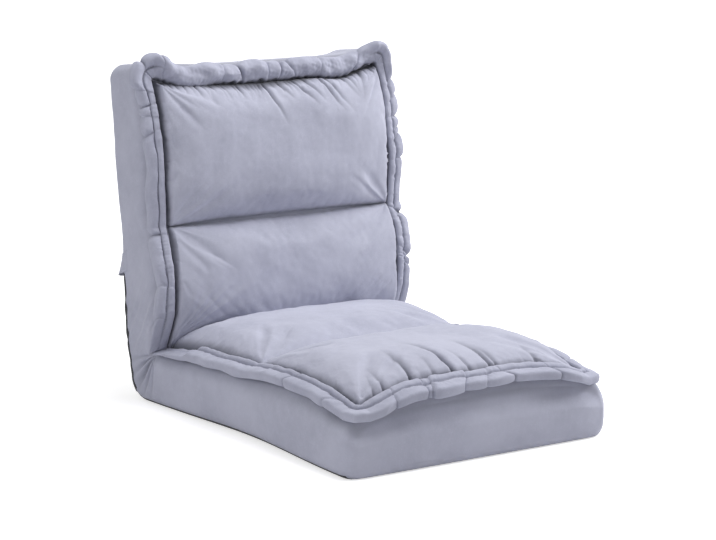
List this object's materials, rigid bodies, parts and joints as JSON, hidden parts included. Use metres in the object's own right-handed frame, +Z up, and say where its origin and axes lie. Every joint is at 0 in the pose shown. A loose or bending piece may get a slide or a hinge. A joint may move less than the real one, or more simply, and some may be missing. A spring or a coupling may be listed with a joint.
{
  "type": "folding floor chair",
  "caption": "Low padded floor chair with no legs: a long upholstered slab folds on a ratchet hinge into a seat and a reclining back, both with quilted pillows and a gathered roll edge.",
  "frame": {"origin": "middle of the flat underside on the floor, half way from the front face to the hinge axis, on the chair's middle plane", "axes": "+Z up, the chair faces -Y, +X to the right of someone who looks along +Y at the chair's front"},
  "size_m": [0.5867, 0.8375, 0.6632],
  "materials": {
    "grey_suede": "light grey-lavender suede-like microfibre",
    "grey_suede_rim": "the same microfibre, gathered and stitched into a roll edge",
    "black_antislip_fabric": "black woven underside fabric with anti-slip dots",
    "foam": "open-cell polyurethane foam",
    "black_painted_tube": "black powder-coated steel tube",
    "zinc_plated_plate": "zinc-plated pressed steel",
    "zinc_plated_rivet": "zinc-plated steel rivet",
    "spring_steel": "spring steel",
    "closure_tape": "hook-and-loop closure strip"
  },
  "bodies": {
    "seat": {"seat_frame": "black_painted_tube", "seat_cross_bars": "black_painted_tube", "seat_foam_lower": "foam", "seat_foam_upper": "foam", "seat_cover": "grey_suede", "base_cover": "black_antislip_fabric", "seat_front_pad": "grey_suede", "seat_rear_pad": "grey_suede", "seat_rim": "grey_suede_rim", "hinge_cheeks_left": "zinc_plated_plate", "hinge_cheeks_right": "zinc_plated_plate", "seat_spigots": "zinc_plated_plate", "pivot_rivets": "zinc_plated_rivet", "pawl_rivets": "zinc_plated_rivet", "spring_pins": "zinc_plated_rivet", "spigot_rivets": "zinc_plated_rivet", "seat_tube_rivets": "zinc_plated_rivet", "crease_gusset": "grey_suede", "knuckle_wrap": "black_antislip_fabric", "pawl_spring_left": "spring_steel", "pawl_spring_right": "spring_steel"},
    "back": {"back_frame": "black_painted_tube", "back_cross_bars": "black_painted_tube", "back_foam_rear": "foam", "back_foam_front": "foam", "back_cover": "grey_suede", "back_lower_panel": "black_antislip_fabric", "rear_flap": "grey_suede", "closure_tape": "closure_tape", "lumbar_pad": "grey_suede", "head_pad": "grey_suede", "back_rim": "grey_suede_rim", "ratchet_arm_left": "zinc_plated_plate", "ratchet_arm_right": "zinc_plated_plate", "back_tube_rivets": "zinc_plated_rivet"},
    "pawl_left": {"pawl_left": "zinc_plated_plate"},
    "pawl_right": {"pawl_right": "zinc_plated_plate"}
  },
  "joints": [
    {"name": "back_recline", "type": "hinge", "parent": "seat", "child": "back", "pos_m": [0, 0.3575, 0.0475], "axis": [-1, 0, 0], "range_deg": [-46.8, 83.2], "deforming": ["crease_gusset", "knuckle_wrap"]},
    {"name": "pawl_left_drop", "type": "hinge", "parent": "seat", "child": "pawl_left", "pos_m": [-0.225, 0.33857, 0.02047], "axis": [-1, 0, 0], "range_deg": [0, 9.7], "deforming": ["pawl_spring_left"]},
    {"name": "pawl_right_drop", "type": "hinge", "parent": "seat", "child": "pawl_right", "pos_m": [0.225, 0.33857, 0.02047], "axis": [-1, 0, 0], "range_deg": [0, 9.7], "deforming": ["pawl_spring_right"]}
  ]
}
